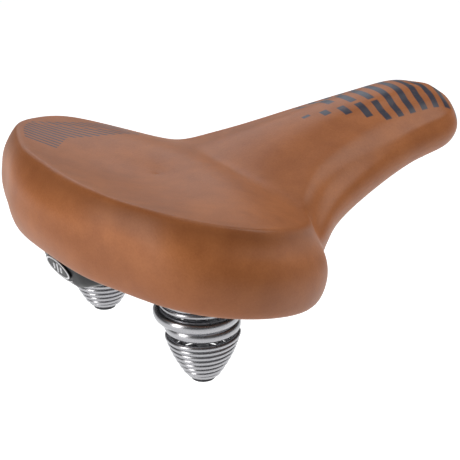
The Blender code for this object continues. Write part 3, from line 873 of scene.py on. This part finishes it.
def face_axes():
    """Across, up the slope and out of the tail piece's rear face."""
    angle = math.atan(FACE_SLOPE)
    return (Vector((0, -1, 0)), Vector((-math.cos(angle), 0, math.sin(angle))),
            Vector((-math.sin(angle), 0, -math.cos(angle))))


def on_face(points, lift):
    """Points (across, up the slope) of the rear face, lifted off it, in the model's frame."""
    across, up, out = face_axes()
    middle = Vector((FACE_X, 0, FACE_Z))
    return [middle + across * a + up * b + out * lift for a, b in points]


class SADDLE_OT_badge(bpy.types.Operator):
    """Models the oval badge: a dark field, a raised pale ring and a plain three-bar motif"""

    bl_idname = "saddle.badge"
    bl_label = "Badge"

    def execute(self, context):
        field = self.plate("badge_plate", 12.0, 6.5, GAP, GAP + 0.7)
        apply_modifier(field, "BEVEL", width=0.25 * MM, segments=3, limit_method="ANGLE")
        dress(smooth(field), "bumper_plastic", "white_print", "seat", "badge")
        ring = [(10.9 * math.cos(a), 5.5 * math.sin(a)) for a in np.linspace(0, math.tau, 73)[:-1]]
        self.line("badge_ring", ring, 1.1, True)
        for k, (middle, half) in enumerate(((-3.6, 2.2), (0.0, 3.4), (3.6, 2.2))):
            bar = [(middle + 0.45 * s * half, s * half) for s in np.linspace(-1, 1, 9)]
            self.line(f"badge_bar_{k + 1}", bar, 1.3, False)
        arc = [(14.0 * math.cos(a), 8.0 * math.sin(a)) for a in np.radians(np.linspace(222, 318, 41))]
        self.line("tail_arc", arc, 0.8, False, 0.1)
        return {"FINISHED"}

    @staticmethod
    def plate(name, half_across, half_up, low, high):
        deselect()
        bpy.ops.mesh.primitive_cylinder_add(vertices=96, radius=MM, depth=(high - low) * MM)
        plate = bpy.context.active_object
        middle = on_face([(0, 0)], (low + high) / 2)[0]
        across, up, out = face_axes()
        turn = Matrix((across * half_across, up * half_up, out)).transposed().to_4x4()
        plate.matrix_world = Matrix.Translation(middle * MM) @ turn
        settle(plate, name)
        return edit(plate, lambda: bpy.ops.mesh.normals_make_consistent(inside=False))

    @staticmethod
    def line(name, points, width, closed, lift=GAP + 0.55):
        places = on_face(points + ([points[0]] if closed else []), lift)
        obj = tube(name, [tuple(p) for p in places], width, 12)
        dress(obj, "pale_print", "white_print", "seat")


class SADDLE_OT_fittings(bpy.types.Operator):
    """Finishes the nose clip and the screws"""

    bl_idname = "saddle.fittings"
    bl_label = "Clip and screws"

    def execute(self, context):
        repaint("dull_zinc", "nose_clip", "bumper_screw_left", "bumper_screw_right", "clip_screw_left",
                "clip_screw_right")
        return {"FINISHED"}


# Each area light: name, metres to the right, up and towards the camera, sizes, strength, tint
LIGHTS = (
    ("softbox_left", (-1.15, 0.36, 0.80), (0.45, 0.9), 9.2, (1.0, 0.98, 0.95)),
    ("softbox_right", (0.85, 0.95, -0.15), (0.6, 0.8), 7.6, (1.0, 0.98, 0.95)),
    ("overhead", (-0.1, 1.3, -0.1), (0.8, 0.6), 3.2, (1.0, 0.99, 0.98)),
    ("back_sheen", (-0.35, 0.72, -1.25), (1.3, 0.6), 5.6, (0.86, 0.93, 1.0)),
)
CAMERA_PLACE = (-0.4905, -0.7118, 0.3932)


class SADDLE_OT_stage(bpy.types.Operator):
    """Adds the pale floor, the soft lights and the camera"""

    bl_idname = "saddle.stage"
    bl_label = "Stage"

    def execute(self, context):
        stage = context.scene.saddle_stage
        low, high = CAD_BOX
        middle = (low + high) / 2
        deselect()
        bpy.ops.mesh.primitive_plane_add(size=12.0, location=(middle.x, middle.y, low.z - stage.floor_drop))
        floor = settle(context.active_object, "floor")
        material, shader, place = start_finish("pale_floor", Roughness=0.9, Specular_IOR_Level=0.1,
                                               Emission_Color=(1, 1, 1, 1), Emission_Strength=0.62)
        feed(shader, Base_Color=noise(place, 3.0).mixed(rgb((0.88, 0.88, 0.88)), rgb((0.93, 0.93, 0.93))))
        floor.data.materials.append(material)
        self.add_world(context.scene)
        self.add_camera(context.scene, stage)
        right, ahead = self.view_axes(stage)
        for name, place, size, power, tint in LIGHTS:
            spot = middle + right * place[0] + Vector((0, 0, 1)) * place[1] - ahead * place[2]
            bpy.ops.object.light_add(type="AREA", location=spot)
            light = context.active_object
            light.name = light.data.name = name
            light.rotation_euler = (middle - spot).to_track_quat("-Z", "Y").to_euler()
            light.data.shape = "RECTANGLE"
            light.data.size, light.data.size_y = size
            light.data.energy = power
            light.data.color = tint
        return {"FINISHED"}

    @staticmethod
    def view_axes(stage):
        """Level right and level forward of the camera's heading."""
        h = stage.heading
        return Vector((math.sin(h), -math.cos(h), 0)), Vector((math.cos(h), math.sin(h), 0))

    @staticmethod
    def add_world(scene):
        world = bpy.data.worlds.new("studio")
        scene.world = world
        world.use_nodes = True
        background = world.node_tree.nodes["Background"]
        background.inputs["Color"].default_value = (1.0, 1.0, 1.0, 1.0)
        background.inputs["Strength"].default_value = 0.12

    @classmethod
    def add_camera(cls, scene, stage):
        level, forward = cls.view_axes(stage)
        ahead = forward * math.cos(stage.elevation) - Vector((0, 0, math.sin(stage.elevation)))
        upright = level.cross(ahead)
        right = level * math.cos(stage.roll) - upright * math.sin(stage.roll)
        up = level * math.sin(stage.roll) + upright * math.cos(stage.roll)
        turn = Matrix((right, up, -ahead)).transposed().to_4x4()
        deselect()
        bpy.ops.object.camera_add()
        camera = bpy.context.active_object
        camera.name = "camera"
        camera.matrix_world = Matrix.Translation(CAMERA_PLACE) @ turn
        camera.data.lens = stage.focal_mm
        camera.data.sensor_width = 36.0
        camera.data.clip_start, camera.data.clip_end = 0.01, 50.0
        scene.camera = camera
        scene.view_settings.view_transform = "Standard"


OPERATORS = (SADDLE_OT_cover, SADDLE_OT_padding, SADDLE_OT_base_shell, SADDLE_OT_rail, SADDLE_OT_springs,
             SADDLE_OT_spring_hardware, SADDLE_OT_bumper, SADDLE_OT_badge, SADDLE_OT_fittings, SADDLE_OT_stage)


class SADDLE_PT_pieces(bpy.types.Panel):
    """Lists every piece of the saddle"""

    bl_idname = "SADDLE_PT_pieces"
    bl_label = "Saddle pieces"
    bl_space_type = "VIEW_3D"
    bl_region_type = "UI"
    bl_category = "Saddle"

    def draw(self, context):
        for operator in OPERATORS:
            self.layout.operator(operator.bl_idname)
        for settings in (context.scene.saddle_cover, context.scene.saddle_metal, context.scene.saddle_stage):
            box = self.layout.box()
            for name in type(settings).__annotations__:
                box.prop(settings, name)


GROUPS = (SaddleCoverSettings, SaddleMetalSettings, SaddleStageSettings)


def register():
    for item in (*GROUPS, *OPERATORS, SADDLE_PT_pieces):
        bpy.utils.register_class(item)
    bpy.types.Scene.saddle_cover = bpy.props.PointerProperty(type=SaddleCoverSettings)
    bpy.types.Scene.saddle_metal = bpy.props.PointerProperty(type=SaddleMetalSettings)
    bpy.types.Scene.saddle_stage = bpy.props.PointerProperty(type=SaddleStageSettings)


def unregister():
    del bpy.types.Scene.saddle_cover, bpy.types.Scene.saddle_metal, bpy.types.Scene.saddle_stage
    for item in (SADDLE_PT_pieces, *OPERATORS[::-1], *GROUPS[::-1]):
        bpy.utils.unregister_class(item)


def main():
    register()
    bpy.ops.saddle.cover()
    bpy.ops.saddle.padding()
    bpy.ops.saddle.base_shell()
    bpy.ops.saddle.rail()
    bpy.ops.saddle.springs()
    bpy.ops.saddle.spring_hardware()
    bpy.ops.saddle.bumper()
    bpy.ops.saddle.badge()
    bpy.ops.saddle.fittings()
    bpy.ops.saddle.stage()


if __name__ == "__main__":
    main()
